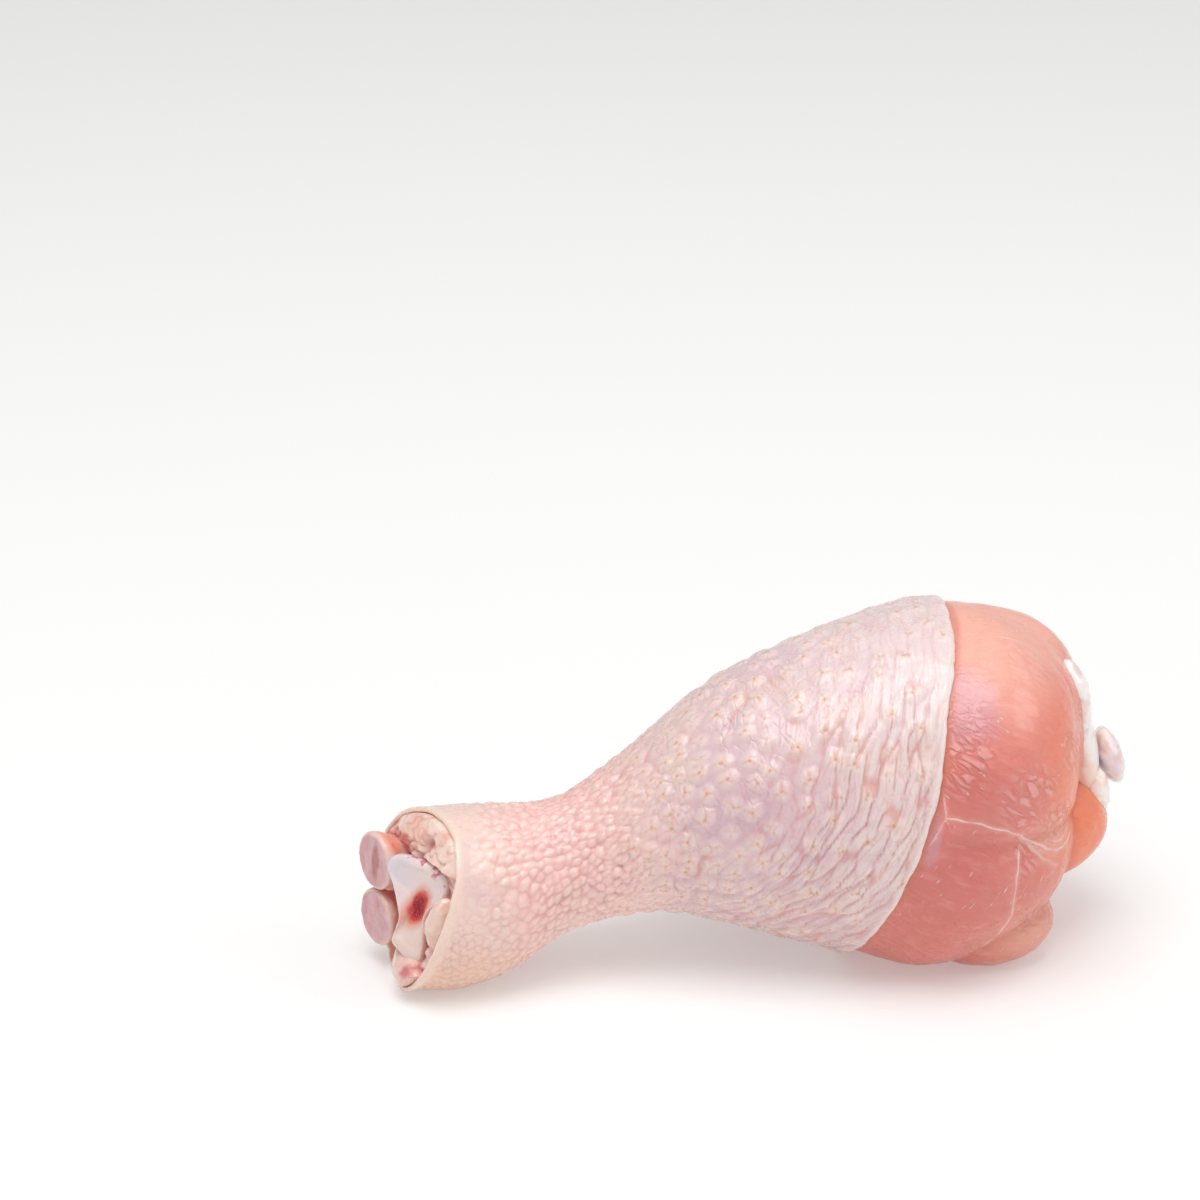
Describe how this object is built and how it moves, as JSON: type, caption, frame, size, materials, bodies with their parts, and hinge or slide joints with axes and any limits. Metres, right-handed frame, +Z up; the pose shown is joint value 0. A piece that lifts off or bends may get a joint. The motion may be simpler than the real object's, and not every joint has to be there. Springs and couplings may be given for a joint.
{
  "type": "raw chicken drumstick",
  "caption": "Raw chicken drumstick lying on its side: a sleeve of skin, bare meat at the thick end, and cut bone, tendon and fat at the hock.",
  "frame": {"origin": "middle of the leg's footprint, on the surface it lies on", "axes": "+X from the hock to the knee, +Z up; the side that faces -Y is the one shown"},
  "size_m": [0.1316, 0.0586, 0.0613],
  "materials": {
    "skin": "moist glossy raw skin with follicles, cream to pink",
    "meat": "wet salmon red muscle under a thin clear membrane",
    "bone": "wet bluish white cartilage on the bone's ends",
    "tendon": "glossy lilac pink cut tendon",
    "fat": "soft cream fat",
    "cartilage": "wet milky cartilage"
  },
  "bodies": {
    "root": {"skin": "skin", "meat": "meat", "shin_bone": "bone", "tendon_stub_upper": "tendon", "tendon_stub_lower": "tendon", "hock_pad": "tendon", "hock_sinew": "tendon", "hock_fat": "fat", "knee_cap": "cartilage", "knee_tendon": "cartilage", "knee_ligament": "cartilage"}
  },
  "joints": []
}
